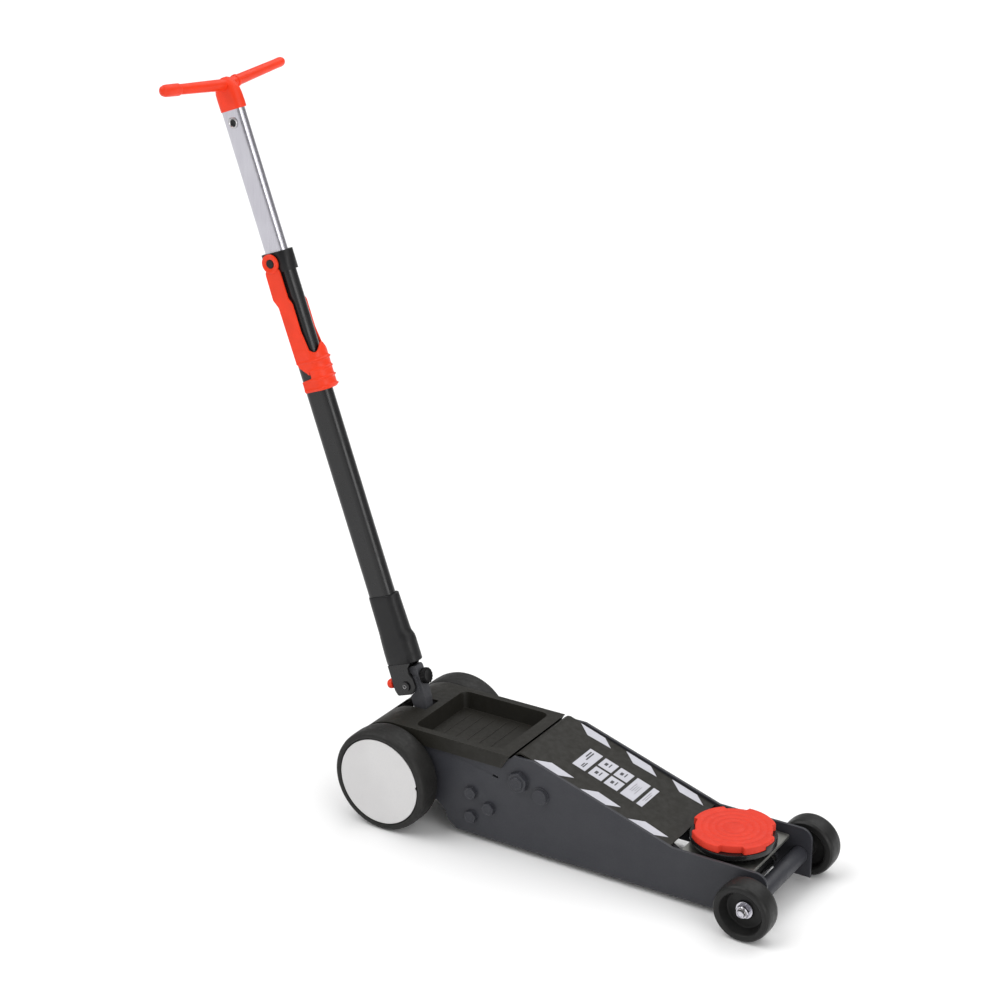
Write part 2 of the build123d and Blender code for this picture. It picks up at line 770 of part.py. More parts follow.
with BuildPart() as yoke:
    with BuildSketch(upright(yoke_half_width)):
        with BuildLine():
            Polyline(
                handle_point(8.4, 21),
                handle_point(11, 24.5),
                handle_point(17, 27.5),
                handle_point(23, 27.5),
                handle_point(24.5, 23),
                handle_point(24.5, -4),
                handle_point(23.5, -24),
                (yoke_pin_x + 4.5, 148),
                (yoke_pin_x + 9, yoke_pin_z),
                (yoke_pin_x - 10, yoke_pin_z),
                (yoke_pin_x - 17, 146),
                (yoke_pin_x - 21, 156),
                handle_point(-1, -17.5),
                handle_point(13, -10),
                handle_point(17.5, 2),
                handle_point(14, 14),
                close=True,
            )
        make_face()
        fillet(vertices().sort_by(Axis.Y)[-3:], 2.5)
    extrude(amount=2 * yoke_half_width)
    with BuildSketch(upright(boss_half_width)):
        with BuildLine():
            Polyline(
                handle_point(0, 12),
                handle_point(20, 12),
                handle_point(20, -12),
                handle_point(0, -12),
                close=True,
            )
        make_face()
        with Locations(handle_point(0, 0)):
            Circle(12)
            Circle(fold_bolt_radius + running_gap, mode=Mode.SUBTRACT)
    extrude(amount=2 * boss_half_width)
    with BuildSketch(upright(hub_half_width)):
        with Locations((yoke_pin_x, yoke_pin_z)):
            Circle(11.5)
    extrude(amount=2 * hub_half_width)
    with BuildSketch(upright(9)):
        with Locations((yoke_pin_x, (yoke_pin_z + plunger_z) / 2)):
            Rectangle(2 * roller_radius - 7, yoke_pin_z - plunger_z)
        with Locations((yoke_pin_x, plunger_z)):
            Circle(roller_radius)
    extrude(amount=18)
    with BuildSketch(upright(hub_half_width)):
        with Locations((yoke_pin_x, yoke_pin_z)):
            Circle(7 + running_gap)
    extrude(amount=2 * hub_half_width, mode=Mode.SUBTRACT)
save(yoke, "pump_yoke")

button_plane = Plane(origin=handle_foot + handle_up * 4, x_dir=Vector(0, 1, 0), z_dir=-handle_forward)
with BuildPart() as base:
    with BuildSketch(handle_side.offset(-cheek_outer_y)):
        with BuildLine():
            Polyline(
                (-21.5, 34),
                (-21.5, -5),
                (-18.5, -13.3),
                (8, -13.3),
                (16.5, -4),
                (16.5, 9),
                (12, 18),
                (13, 27),
                (20, 34),
                close=True,
            )
        make_face()
        fillet(vertices().sort_by(Axis.Y)[:5], 3.5)
    extrude(amount=2 * cheek_outer_y)
    with BuildSketch(handle_side.offset(-cheek_inner_y)):
        with BuildLine():
            Polyline((-14, -20), (40, -20), (40, 30.5), (5, 30.5), (5, 17), (-14, 17), close=True)
        make_face()
    extrude(amount=2 * cheek_inner_y, mode=Mode.SUBTRACT)
    with BuildSketch(tube_plane.offset(34)):
        SlotOverall(tube_depth - 2 * tube_wall, tube_width - 2 * tube_wall)
    extrude(amount=24)
    with BuildSketch(handle_side.offset(-cheek_outer_y)):
        Circle(fold_bolt_radius)
    extrude(amount=2 * cheek_outer_y, mode=Mode.SUBTRACT)
    with BuildSketch(button_plane.offset(13)):
        SlotOverall(20.6, 10.6)
    extrude(amount=10, mode=Mode.SUBTRACT)
save(base, "handle_base")

with BuildPart() as fold_bolt:
    for radius, near, far in (
        (fold_bolt_radius, 0, cheek_outer_y),
        (7.5, cheek_outer_y, cheek_outer_y + 2.5),
    ):
        for side in (-1, 1):
            with BuildSketch(handle_side.offset(near if side < 0 else -far)):
                Circle(radius)
            extrude(amount=far - near)
save(fold_bolt, "fold_bolt")

with BuildPart() as button:
    with BuildSketch(button_plane.offset(17.5)):
        SlotOverall(20, 10)
    extrude(amount=8.5)
    with BuildSketch(button_plane.offset(26)):
        SlotOverall(27, 14)
    extrude(amount=10)
    fillet(faces().sort_by(Axis((0, 0, 0), (-handle_forward.X, 0, -handle_forward.Z)))[-1].edges(), 4)
save(button, "fold_button")

knob_plane = Plane(origin=handle_foot + handle_up * 9, x_dir=Vector(0, 1, 0), z_dir=handle_forward)
with BuildPart() as knob:
    with BuildSketch(knob_plane.offset(24.7)):
        Circle(12)
        with PolarLocations(12.4, 12):
            Circle(1.5, mode=Mode.SUBTRACT)
    extrude(amount=10.5)
    chamfer(faces().sort_by(Axis((0, 0, 0), (handle_forward.X, 0, handle_forward.Z)))[-1].edges(), 0.8)
save(knob, "release_knob")

with BuildPart() as sleeve:
    for low, high, low_size, high_size, low_shift, high_shift in (
        (34, 70, (59, 30), (57.5, 29.6), 3.8, 4.2),
        (70, 80, (57.5, 29.6), (52.5, 28.6), 4.2, 2.6),
        (80, sleeve_top, (52.5, 28.6), (50, 27), 2.6, 2.2),
    ):
        with BuildSketch(tube_plane.offset(low)):
            with Locations((low_shift, 0)):
                SlotOverall(*low_size)
        with BuildSketch(tube_plane.offset(high)):
            with Locations((high_shift, 0)):
                SlotOverall(*high_size)
        loft()
    with BuildSketch(tube_plane.offset(34)):
        SlotOverall(tube_depth, tube_width)
    extrude(amount=sleeve_top - 30, mode=Mode.SUBTRACT)
save(sleeve, "handle_sleeve")

with BuildPart() as outer_tube:
    with BuildSketch(tube_plane.offset(34)):
        SlotOverall(tube_depth, tube_width)
        SlotOverall(tube_depth - 2 * tube_wall, tube_width - 2 * tube_wall, mode=Mode.SUBTRACT)
    extrude(amount=collar_bottom + 14 - 34)
save(outer_tube, "outer_tube")

lever_axis_forward = -7.3
lever_axis_up = 643.0
lever_inner_y = 15.0
lever_outer_y = 18.5
with BuildPart() as collar:
    with BuildSketch(tube_plane.offset(collar_bottom)):
        SlotOverall(50.5, 29)
        SlotOverall(inner_depth + 0.8, inner_width + 0.8, mode=Mode.SUBTRACT)
    extrude(amount=collar_top - collar_bottom)
    with BuildSketch(tube_plane.offset(collar_bottom)):
        SlotOverall(tube_depth, tube_width)
    extrude(amount=14, mode=Mode.SUBTRACT)
    for side in (-1, 1):
        with BuildSketch(handle_side.offset(14 if side < 0 else -lever_outer_y)):
            with Locations((lever_axis_forward, lever_axis_up)):
                Circle(6)
        extrude(amount=lever_outer_y - 14)
save(collar, "tube_collar")

lever_bottom = 452.0
grip_top = 516.0
with BuildPart() as lever:
    for side in (-1, 1):
        with BuildSketch(handle_side.offset(lever_inner_y if side < 0 else -lever_outer_y)):
            with BuildLine():
                Polyline(
                    (lever_axis_forward - 13.2, lever_axis_up),
                    (-20.9, 588),
                    (-15.2, 578),
                    (-15.2, 500),
                    (-3, 488),
                    (5, 480),
                    (2, 471),
                    (-14.5, 471),
                    (-14.5, lever_bottom),
                    (14, lever_bottom),
                    (14, 520),
                    (10.8, 538),
                    (10.6, 582),
                    (5, 592),
                    (lever_axis_forward + 13.2, lever_axis_up),
                    close=True,
                )
            make_face()
            with Locations((lever_axis_forward, lever_axis_up)):
                Circle(13.2)
                Circle(6 + running_gap, mode=Mode.SUBTRACT)
        extrude(amount=lever_outer_y - lever_inner_y)
    with BuildSketch(tube_plane.offset(lever_bottom)):
        with Locations((4, 0)):
            SlotOverall(53, 2 * lever_outer_y)
            SlotOverall(46, 2 * lever_inner_y, mode=Mode.SUBTRACT)
        with Locations((-30 + 11, 0)):
            Rectangle(60, 60, mode=Mode.SUBTRACT)
    extrude(amount=grip_top - lever_bottom)
    for rib in range(4):
        with BuildSketch(tube_plane.offset(lever_bottom + 1.5 + 13.5 * rib)):
            with Locations((4, 0)):
                SlotOverall(60, 2 * lever_outer_y)
                SlotOverall(50, 2 * lever_inner_y + 4, mode=Mode.SUBTRACT)
            with Locations((-30 + 16, 0)):
                Rectangle(60, 60, mode=Mode.SUBTRACT)
        extrude(amount=4)
save(lever, "release_lever")

# ------------------------------------------------------- sliding tube, T grip
inner_wall = 1.6
screw_up = 845.0
screw_radius = 2.5
with BuildPart() as inner_tube:
    with BuildSketch(tube_plane.offset(450)):
        SlotOverall(inner_depth, inner_width)
        SlotOverall(inner_depth - 2 * inner_wall, inner_width - 2 * inner_wall, mode=Mode.SUBTRACT)
    extrude(amount=bar_height - 10 - 450)
    with BuildSketch(handle_side.offset(-inner_width)):
        with Locations((tube_forward, screw_up)):
            Circle(screw_radius)
    extrude(amount=2 * inner_width, mode=Mode.SUBTRACT)
save(inner_tube, "inner_tube")

bar_forward = -1.0
bar_rise = 13.0
root_radius = 8.2
tip_radius = 6.9
bar_middle = handle_foot + handle_up * bar_height + handle_forward * bar_forward
with BuildPart() as t_grip:
    with BuildSketch(tube_plane.offset(hub_bottom)):
        with Locations((1.4, 0)):
            SlotOverall(42, 20)
    extrude(amount=bar_height - hub_bottom + 3)
    fillet(faces().sort_by(Axis((0, 0, 0), (handle_up.X, 0, handle_up.Z)))[-1].edges(), 8.5)
    for side in (-1, 1):
        reach = Vector(0, side * bar_half_span, 0) + handle_up * bar_rise
        arm_plane = Plane(origin=bar_middle, z_dir=reach)
        with BuildSketch(arm_plane):
            Circle(root_radius)
        with BuildSketch(arm_plane.offset(reach.length - 8)):
            Circle(tip_radius)
        loft()
        with BuildSketch(arm_plane.offset(reach.length - 34)):
            Circle(8.3)
        extrude(amount=34)
        tip = faces().filter_by(GeomType.PLANE).sort_by(Axis.Y)[0 if side < 0 else -1]
        fillet(tip.edges(), 6)
    with Locations(bar_middle):
        Sphere(root_radius + 1.2)
    with BuildSketch(tube_plane.offset(hub_bottom)):
        SlotOverall(inner_depth, inner_width)
    extrude(amount=bar_height - 10 - hub_bottom, mode=Mode.SUBTRACT)
save(t_grip, "t_grip")

with BuildPart() as grip_screw:
    for side in (-1, 1):
        for radius, near, far in (
            (screw_radius, 0, inner_width / 2),
            (8.0, inner_width / 2, inner_width / 2 + 1.8),
        ):
            with BuildSketch(handle_side.offset(near if side < 0 else -far)):
                with Locations((tube_forward, screw_up)):
                    Circle(radius)
            extrude(amount=far - near)
    with BuildSketch(handle_side.offset(inner_width / 2 + 1.8)):
        with Locations((tube_forward, screw_up)):
            RegularPolygon(4, 6)
    extrude(amount=-1.2, mode=Mode.SUBTRACT)
save(grip_screw, "grip_screw")


# ------------------------------------------------------------------- wheels
def make_wheel_piece(side, x, radius, profile, label):
    """Turn a profile of (distance from the middle, radius) points about a wheel's axis."""
    with BuildPart() as piece:
        with BuildSketch(Plane(origin=(x, 0, radius), x_dir=(0, side, 0), z_dir=(side, 0, 0))):
            with BuildLine():
                Polyline(*profile, close=True)
            make_face()
        revolve(axis=Axis((x, 0, radius), (0, 1, 0)))
    save(piece, label)


rear_in = rear_wheel_inner_y
rear_out = rear_wheel_inner_y + rear_wheel_width
rear_tyre_profile = [
    (rear_in, 66),
    (rear_in, 73.5),
    (rear_in + 5, 76),
    (rear_in + 14, rear_wheel_radius),
    (rear_out - 14, rear_wheel_radius),
    (rear_out - 5, 76),
    (rear_out, 73.5),
    (rear_out, 68),
    (rear_out - 2, 66),
]
rear_rim_profile = [
    (rear_in + 0.4, 9 + running_gap),
    (rear_in + 0.4, 18),
    (rear_in + 10, 20),
    (rear_in + 10, 60),
    (rear_in + 2, 62),
    (rear_in + 2, 66),
    (rear_out - 2, 66),
    (rear_out - 4, 63),
    (rear_out - 14, 60),
    (rear_out - 20, 58),
    (rear_out - 20, 20),
    (rear_out - 11, 18),
    (rear_out - 11, 9 + running_gap),
]
rear_cap_profile = [
    (rear_out - 2.2, 0),
    (rear_out - 2.2, 65),
    (rear_out - 0.8, 65.3),
    (rear_out - 0.2, 64.5),
    (rear_out - 0.2, 0),
]
front_in = front_wheel_inner_y
front_out = front_wheel_inner_y + front_wheel_width
front_wheel_profile = [
    (front_in + 0.4, 6 + running_gap),
    (front_in + 0.4, 13),
    (front_in + 9, 13),
    (front_in + 9, 28),
    (front_in + 1, 30),
    (front_in, 32),
    (front_in, 38.5),
    (front_in + 3, 41),
    (front_in + 9, front_wheel_radius),
    (front_out - 9, front_wheel_radius),
    (front_out - 3, 41),
    (front_out, 38.5),
    (front_out, 32),
    (front_out - 1.5, 30),
    (front_out - 17, 27),
    (front_out - 17, 13),
    (front_out - 15.8, 13),
    (front_out - 15.8, 6 + running_gap),
]
for side, name in sides:
    make_wheel_piece(side, rear_axle_x, rear_wheel_radius, rear_tyre_profile, f"{name}_rear_tyre")
    make_wheel_piece(side, rear_axle_x, rear_wheel_radius, rear_rim_profile, f"{name}_rear_rim")
    make_wheel_piece(side, rear_axle_x, rear_wheel_radius, rear_cap_profile, f"{name}_rear_cap")
    make_wheel_piece(side, front_axle_x, front_wheel_radius, front_wheel_profile, f"{name}_front_wheel")
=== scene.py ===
import json
import math
import bmesh
import bpy
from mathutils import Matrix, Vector


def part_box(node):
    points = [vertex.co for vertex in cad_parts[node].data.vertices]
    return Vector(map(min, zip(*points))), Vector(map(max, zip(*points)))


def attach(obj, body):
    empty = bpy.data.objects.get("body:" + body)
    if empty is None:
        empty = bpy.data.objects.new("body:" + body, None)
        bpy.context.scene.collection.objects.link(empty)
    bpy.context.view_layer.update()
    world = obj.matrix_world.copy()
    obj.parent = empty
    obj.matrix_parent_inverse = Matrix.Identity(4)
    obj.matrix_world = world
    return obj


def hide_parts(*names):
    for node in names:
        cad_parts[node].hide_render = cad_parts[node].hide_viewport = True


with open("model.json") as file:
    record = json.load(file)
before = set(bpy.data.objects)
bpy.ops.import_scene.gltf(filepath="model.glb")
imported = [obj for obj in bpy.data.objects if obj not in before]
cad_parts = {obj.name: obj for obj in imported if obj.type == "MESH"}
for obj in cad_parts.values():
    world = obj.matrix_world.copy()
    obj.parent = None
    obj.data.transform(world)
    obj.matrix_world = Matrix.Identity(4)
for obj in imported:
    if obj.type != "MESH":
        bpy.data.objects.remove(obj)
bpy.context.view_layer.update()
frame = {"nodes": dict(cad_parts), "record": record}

MM = 0.001
HANDLE_LEAN = 19.16             # degrees back from upright


# ---------------------------------------------------------------- materials
class Surface:
    """A procedural material: layers of noise drive one Principled shader."""

    def __init__(self, name, colour, rough, metal=0.0, specular=0.5):
        self.material = bpy.data.materials.new(name)
        self.material.use_nodes = True
        self.tree = self.material.node_tree
        self.shader = self.tree.nodes["Principled BSDF"]
        self.shader.inputs["Metallic"].default_value = metal
        self.shader.inputs["Roughness"].default_value = rough
        self.shader.inputs["Specular IOR Level"].default_value = specular
        self.shader.inputs["Base Color"].default_value = (*colour, 1)
        self.place = self.node("ShaderNodeTexCoord").outputs["Object"]
        self.colour = None
        self.base = (*colour, 1)
        self.normal = None

    def node(self, kind, links=(), **values):
        made = self.tree.nodes.new(kind)
        for key, value in values.items():
            setattr(made, key, value)
        for socket, source in dict(links).items():
            if isinstance(source, bpy.types.NodeSocket):
                self.tree.links.new(source, made.inputs[socket])
            else:
                made.inputs[socket].default_value = source
        return made

    def stretched(self, turn=(0, 0, 0), scale=(1, 1, 1)):
        made = self.node("ShaderNodeMapping", {"Vector": self.place})
        made.inputs["Rotation"].default_value = turn
        made.inputs["Scale"].default_value = scale
        return made.outputs["Vector"]

    def noise(self, size_mm, detail=3.0, contrast=(0.35, 0.65), vector=None):
        """A 0..1 mask whose features are about size_mm across."""
        links = {"Vector": vector or self.place, "Scale": 1000.0 / size_mm, "Detail": detail}
        made = self.node("ShaderNodeTexNoise", links)
        return self.remap(made.outputs["Fac"], contrast, (0.0, 1.0))

    def remap(self, source, low_high, to):
        made = self.node("ShaderNodeMapRange", {"Value": source})
        made.inputs["From Min"].default_value = low_high[0]
        made.inputs["From Max"].default_value = low_high[1]
        made.inputs["To Min"].default_value = to[0]
        made.inputs["To Max"].default_value = to[1]
        return made.outputs["Result"]

    def math(self, operation, a, b):
        return self.node("ShaderNodeMath", {0: a, 1: b}, operation=operation).outputs[0]

    def tint(self, mask, colour, strength=1.0):
        """Mixes another colour in where the mask is 1."""
        if strength != 1.0:
            mask = self.math("MULTIPLY", mask, strength)
        mix = self.node("ShaderNodeMix", data_type="RGBA")
        self.tree.links.new(mask, mix.inputs["Factor"])
        if self.colour is None:
            mix.inputs[6].default_value = self.base
        else:
            self.tree.links.new(self.colour, mix.inputs[6])
        mix.inputs[7].default_value = (*colour, 1)
        self.colour = mix.outputs[2]
        self.tree.links.new(self.colour, self.shader.inputs["Base Color"])
        return self

    def roughen(self, mask, low, high):
        self.tree.links.new(self.remap(mask, (0, 1), (low, high)), self.shader.inputs["Roughness"])
        return self

    def bump(self, mask, height_mm, strength=1.0):
        links = {"Height": mask, "Strength": strength, "Distance": height_mm * MM}
        made = self.node("ShaderNodeBump", links)
        if self.normal is not None:
            self.tree.links.new(self.normal, made.inputs["Normal"])
        self.normal = made.outputs["Normal"]
        self.tree.links.new(self.normal, self.shader.inputs["Normal"])
        return self

    def edges(self, radius_mm, low=0.02, high=0.25):
        """A mask of the convex edges, used to paint a highlight along them."""
        soft = self.node("ShaderNodeBevel", {"Radius": radius_mm * MM}, samples=4).outputs["Normal"]
        hard = self.node("ShaderNodeNewGeometry").outputs["Normal"]
        dot = self.node("ShaderNodeVectorMath", {0: soft, 1: hard}, operation="DOT_PRODUCT")
        away = self.math("SUBTRACT", 1.0, dot.outputs["Value"])
        return self.remap(away, (low, high), (0.0, 1.0))


def frame_paint():
    s = Surface("satin_frame_paint", (0.0335, 0.0345, 0.041), 0.44, specular=0.3)
    s.tint(s.noise(60, 3), (0.029, 0.030, 0.0365))
    s.tint(s.noise(2.2, 2), (0.042, 0.043, 0.050), 0.35)
    # painted highlight: the convex edges are lightened
    s.tint(s.edges(1.2), (0.12, 0.122, 0.13), 0.5)
    s.roughen(s.noise(18, 4), 0.38, 0.5)
    s.bump(s.noise(1.6, 2, (0.3, 0.7)), 0.05, 0.5)
    return s.material


def cover_plastic():
    colour = (0.0125, 0.0115, 0.0088)
    s = Surface("textured_cover_plastic", colour, 0.5, specular=0.28)
    s.tint(s.noise(45, 3), tuple(c * 1.25 for c in colour), 0.8)
    # painted highlight: the convex edges are lightened
    s.tint(s.edges(1.6), (0.04, 0.038, 0.032), 0.55)
    s.roughen(s.noise(9, 3), 0.46, 0.6)
    s.bump(s.noise(1.1, 3, (0.3, 0.7)), 0.12, 0.55)
    s.bump(s.noise(0.55, 2, (0.3, 0.7)), 0.05, 0.4)
    return s.material


def smooth_plastic(name, colour, rough=0.35, grain=0.35, specular=0.25):
    s = Surface(name, colour, rough, specular=specular)
    s.tint(s.noise(30, 3), tuple(min(1.0, c * 1.18) for c in colour), 0.7)
    s.tint(s.noise(1.2, 2), tuple(c * 0.86 for c in colour), 0.3)
    s.roughen(s.noise(7, 3), rough - 0.05, rough + 0.09)
    s.bump(s.noise(0.9, 2, (0.3, 0.7)), 0.05, grain)
    return s.material


def painted_tube():
    s = Surface("black_powder_coat", (0.0085, 0.0085, 0.009), 0.24, specular=0.4)
    s.tint(s.noise(40, 3), (0.011, 0.011, 0.012), 0.8)
    # painted highlight: the convex edges are lightened
    s.tint(s.edges(1.0), (0.03, 0.03, 0.033), 0.4)
    s.roughen(s.noise(12, 4), 0.2, 0.3)
    s.bump(s.noise(1.4, 2, (0.3, 0.7)), 0.02, 0.3)
    return s.material


def grey_casting():
    s = Surface("grey_casting_paint", (0.060, 0.061, 0.068), 0.5, specular=0.35)
    s.tint(s.noise(14, 4), (0.045, 0.046, 0.052), 0.8)
    # painted highlight: the convex edges are lightened
    s.tint(s.edges(1.0), (0.17, 0.17, 0.18), 0.5)
    s.roughen(s.noise(5, 3), 0.42, 0.6)
    s.bump(s.noise(1.4, 3, (0.3, 0.7)), 0.14, 0.6)
    return s.material


def plated_steel(name="zinc_plated_steel", colour=(0.58, 0.57, 0.55), rough=0.3):
    s = Surface(name, colour, rough, metal=1.0)
    s.tint(s.noise(14, 3), tuple(c * 0.88 for c in colour), 0.6)
    s.tint(s.noise(2.5, 3), tuple(c * 0.94 for c in colour), 0.4)
    s.roughen(s.noise(5, 3), rough - 0.03, rough + 0.07)
    s.bump(s.noise(0.8, 3, (0.3, 0.7)), 0.03, 0.4)
    return s.material


def bright_tube():
    """Steel with its fine polishing marks along the leaning handle."""
    lean = math.radians(HANDLE_LEAN)
    s = Surface("polished_tube", (0.50, 0.49, 0.535), 0.2, metal=1.0)
    along = s.stretched((0, lean, 0), (1.0, 1.0, 0.012))
    s.tint(s.noise(1.0, 3, (0.35, 0.65), along), (0.43, 0.42, 0.465), 0.5)
    s.tint(s.noise(45, 3), (0.54, 0.535, 0.575), 0.5)
    s.roughen(s.noise(1.6, 3, (0.35, 0.65), along), 0.16, 0.3)
    s.bump(s.noise(0.7, 3, (0.3, 0.7), along), 0.015, 0.35)
    return s.material


def tyre_band():
    s = Surface("tyre_band", (0.0125, 0.0122, 0.0115), 0.5, specular=0.28)
    s.tint(s.noise(35, 3), (0.017, 0.0165, 0.0155), 0.7)
    s.tint(s.noise(4, 4, (0.5, 0.75)), (0.024, 0.023, 0.021), 0.35)
    s.roughen(s.noise(6, 4), 0.48, 0.66)
    s.bump(s.noise(1.5, 3, (0.3, 0.7)), 0.08, 0.5)
    return s.material


def hub_disc():
    s = Surface("pale_hub_disc", (0.60, 0.592, 0.592), 0.35, specular=0.4)
    s.tint(s.noise(70, 2), (0.66, 0.652, 0.65), 0.7)
    s.tint(s.noise(3, 3), (0.57, 0.565, 0.565), 0.25)
    s.roughen(s.noise(9, 3), 0.28, 0.4)
    s.bump(s.noise(1.5, 2, (0.3, 0.7)), 0.02, 0.4)
    return s.material


def pad_rubber():
    s = Surface("red_pad_rubber", (0.70, 0.040, 0.018), 0.55, specular=0.3)
    s.tint(s.noise(25, 3), (0.63, 0.033, 0.016), 0.7)
    s.tint(s.noise(1.5, 3), (0.76, 0.05, 0.022), 0.3)
    s.roughen(s.noise(5, 3), 0.48, 0.66)
    s.bump(s.noise(1.0, 3, (0.3, 0.7)), 0.08, 0.55)
    return s.material


def printed_film():
    colour = (0.52, 0.52, 0.57)
    s = Surface("printed_film", colour, 0.45)
    s.tint(s.noise(20, 3), tuple(c * 0.93 for c in colour), 0.8)
    s.tint(s.noise(0.9, 2), tuple(c * 0.86 for c in colour), 0.35)
    s.roughen(s.noise(4, 2), 0.4, 0.52)
    s.bump(s.noise(0.9, 3, (0.3, 0.7)), 0.04, 0.4)
    return s.material


paint = frame_paint()
cover = cover_plastic()
black_plastic = smooth_plastic("black_handle_plastic", (0.009, 0.009, 0.0097), 0.34, 0.4)
black_metal = painted_tube()
grey = grey_casting()
steel = plated_steel()
bright = bright_tube()
red = smooth_plastic("red_handle_plastic", (0.80, 0.042, 0.011), 0.36, 0.45)
rubber = pad_rubber()
tyre = tyre_band()
disc = hub_disc()
film = printed_film()
wheel_black = smooth_plastic("wheel_black_plastic", (0.0095, 0.0095, 0.0092), 0.42, 0.4)
roller_black = smooth_plastic("roller_black_plastic", (0.0105, 0.0105, 0.0102), 0.4, 0.4)
sleeve_plastic = smooth_plastic("sleeve_plastic", (0.0105, 0.0105, 0.0112), 0.36, 0.4)
bush_steel = plated_steel("bush_steel", (0.48, 0.47, 0.48), 0.24)
bright_steel = plated_steel("bright_zinc", (0.62, 0.61, 0.66), 0.18)
plate_steel = plated_steel("carrier_plate_steel", (0.30, 0.30, 0.28), 0.4)
knob_black = smooth_plastic("knob_black", (0.0035, 0.0035, 0.0038), 0.4, 0.3, 0.15)
label_ink = smooth_plastic("label_ink", (0.06, 0.06, 0.066), 0.5, 0.2)
by_slot = {
    "frame_paint": paint, "cover_plastic": cover, "black_plastic": black_plastic, "black_metal": black_metal,
    "grey_steel": grey, "plated_steel": steel, "tube_chrome": bright, "red_plastic": red,
    "pad_rubber": rubber, "tyre_plastic": tyre, "hub_plastic": disc, "light_marking": film,
}

# ------------------------------------------------------- carried-over nodes
node_slots = {s["node"]: s["material_slot"] for s in frame["record"]["subparts"]}
for name, obj in frame["nodes"].items():
    obj.data.materials.clear()
    obj.data.materials.append(by_slot[node_slots[name]])
frame["nodes"]["carrier_plate"].data.materials[0] = plate_steel


# ------------------------------------------------------------- mesh helpers
joints = {j["name"]: j for j in frame["record"]["behaviour"]["joints"]}
UP = Vector(joints["tube_slide"]["axis"]).normalized()
FORWARD = Vector(joints["release_turn"]["axis"]).normalized()
FOOT = Vector(joints["handle_fold"]["pos_m"])
TUBE_FORWARD = -3.3              # the tubes' middle lies behind the handle's pivot line
WELD = 0.00001                   # metres, below which two points are one
BEVEL_ANGLE = 32                 # degrees, above which an edge is rounded


def on_handle(forward, y, up):
    """A point from millimetres ahead of, beside and along the handle."""
    return FOOT + FORWARD * forward * MM + UP * up * MM + Vector((0, y * MM, 0))


def piece(name, points, faces, material, body, nodes=(), smooth=30, round_mm=0.0, segments=3):
    """A finished mesh: welded, faces turned outwards, edges rounded, ridden on a body."""
    mesh = bpy.data.meshes.new(name)
    build = bmesh.new()
    made = [build.verts.new(p) for p in points]
    for face in faces:
        build.faces.new([made[i] for i in face])
    bmesh.ops.remove_doubles(build, verts=build.verts, dist=WELD)
    bmesh.ops.recalc_face_normals(build, faces=build.faces)
    if build.calc_volume(signed=True) < 0:
        bmesh.ops.reverse_faces(build, faces=build.faces)
    build.to_mesh(mesh)
    build.free()
    mesh.materials.append(material)
    mesh.polygons.foreach_set("use_smooth", [True] * len(mesh.polygons))
    mesh.set_sharp_from_angle(angle=math.radians(smooth))
    obj = bpy.data.objects.new(name, mesh)
    bpy.context.scene.collection.objects.link(obj)
    if round_mm:
        bevel(obj, round_mm, segments)
    if nodes:
        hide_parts(*nodes)
    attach(obj, body)
    return obj


def bevel(obj, width_mm, segments):
    mod = obj.modifiers.new("round", "BEVEL")
    mod.width = width_mm * MM
    mod.segments = segments
    mod.limit_method = "ANGLE"
    mod.angle_limit = math.radians(BEVEL_ANGLE)
    mod.harden_normals = True


def soften(names, width_mm, segments=2):
    """Rounds carried-over nodes' edges; their own meshes stay as they are."""
    for name in names.split():
        obj = frame["nodes"][name]
        weld = obj.modifiers.new("weld", "WELD")
        weld.merge_threshold = WELD
        bevel(obj, width_mm, segments)


def rounded(points, radius, steps):
    """A closed 2-D outline with its corners turned into curves."""
    out = []
    count = len(points)
    for i, here in enumerate(points):
        a = Vector(points[i - 1]) - Vector(here)
        b = Vector(points[(i + 1) % count]) - Vector(here)
        half = a.angle(b) / 2
        reach = min(radius / math.tan(half), a.length * 0.48, b.length * 0.48)
        start = Vector(here) + a.normalized() * reach
        end = Vector(here) + b.normalized() * reach
        for k in range(steps + 1):
            t = k / steps
            out.append(tuple(start * (1 - t) ** 2 + Vector(here) * 2 * t * (1 - t) + end * t * t))
    return out


def obround(depth, width, shift=0.0, steps=14):
    """Points round a slot-shaped section, as (forward, y)."""
    flat, r = (depth - width) / 2, width / 2
    ends = ((flat, -90), (-flat, 90))
    return [
        (shift + x + r * math.cos(math.radians(start + 180 * k / steps)),
         r * math.sin(math.radians(start + 180 * k / steps)))
        for x, start in ends for k in range(steps + 1)
    ]


def circle(spot, first, second, radius_mm, steps):
    """Points round a circle in the plane of two directions."""
    turns = [2 * math.pi * k / steps for k in range(steps)]
    return [spot + (first * math.cos(turn) + second * math.sin(turn)) * radius_mm * MM for turn in turns]


def rings(sections, loop=False):
    """Points and faces that join equal rings, capped unless they close in a loop."""
    size = len(sections[0])
    points = [p for section in sections for p in section]
    faces = []
    last = len(sections) if loop else len(sections) - 1
    for i in range(last):
        a, b = i * size, ((i + 1) % len(sections)) * size
        faces += [(a + k, a + (k + 1) % size, b + (k + 1) % size, b + k) for k in range(size)]
    if not loop:
        faces.append(tuple(range(size))[::-1])
        faces.append(tuple(len(points) - size + k for k in range(size)))
    return points, faces


def lathe(name, profile, centre, side, material, body, nodes=(), steps=96, smooth=32, shape=None):
    """Turns a closed (distance from the middle, radius) profile about a wheel's axis."""
    sections = []
    for y, r in profile:
        ring = []
        for k in range(steps):
            angle = 2 * math.pi * k / steps
            reach = shape(angle, y, r) if shape else r
            across, up = reach * MM * math.cos(angle), reach * MM * math.sin(angle)
            ring.append((centre[0] + across, side * y * MM, centre[1] + up))
        sections.append(ring)
    points, faces = rings(sections, loop=True)
    return piece(name, points, faces, material, body, nodes, smooth)


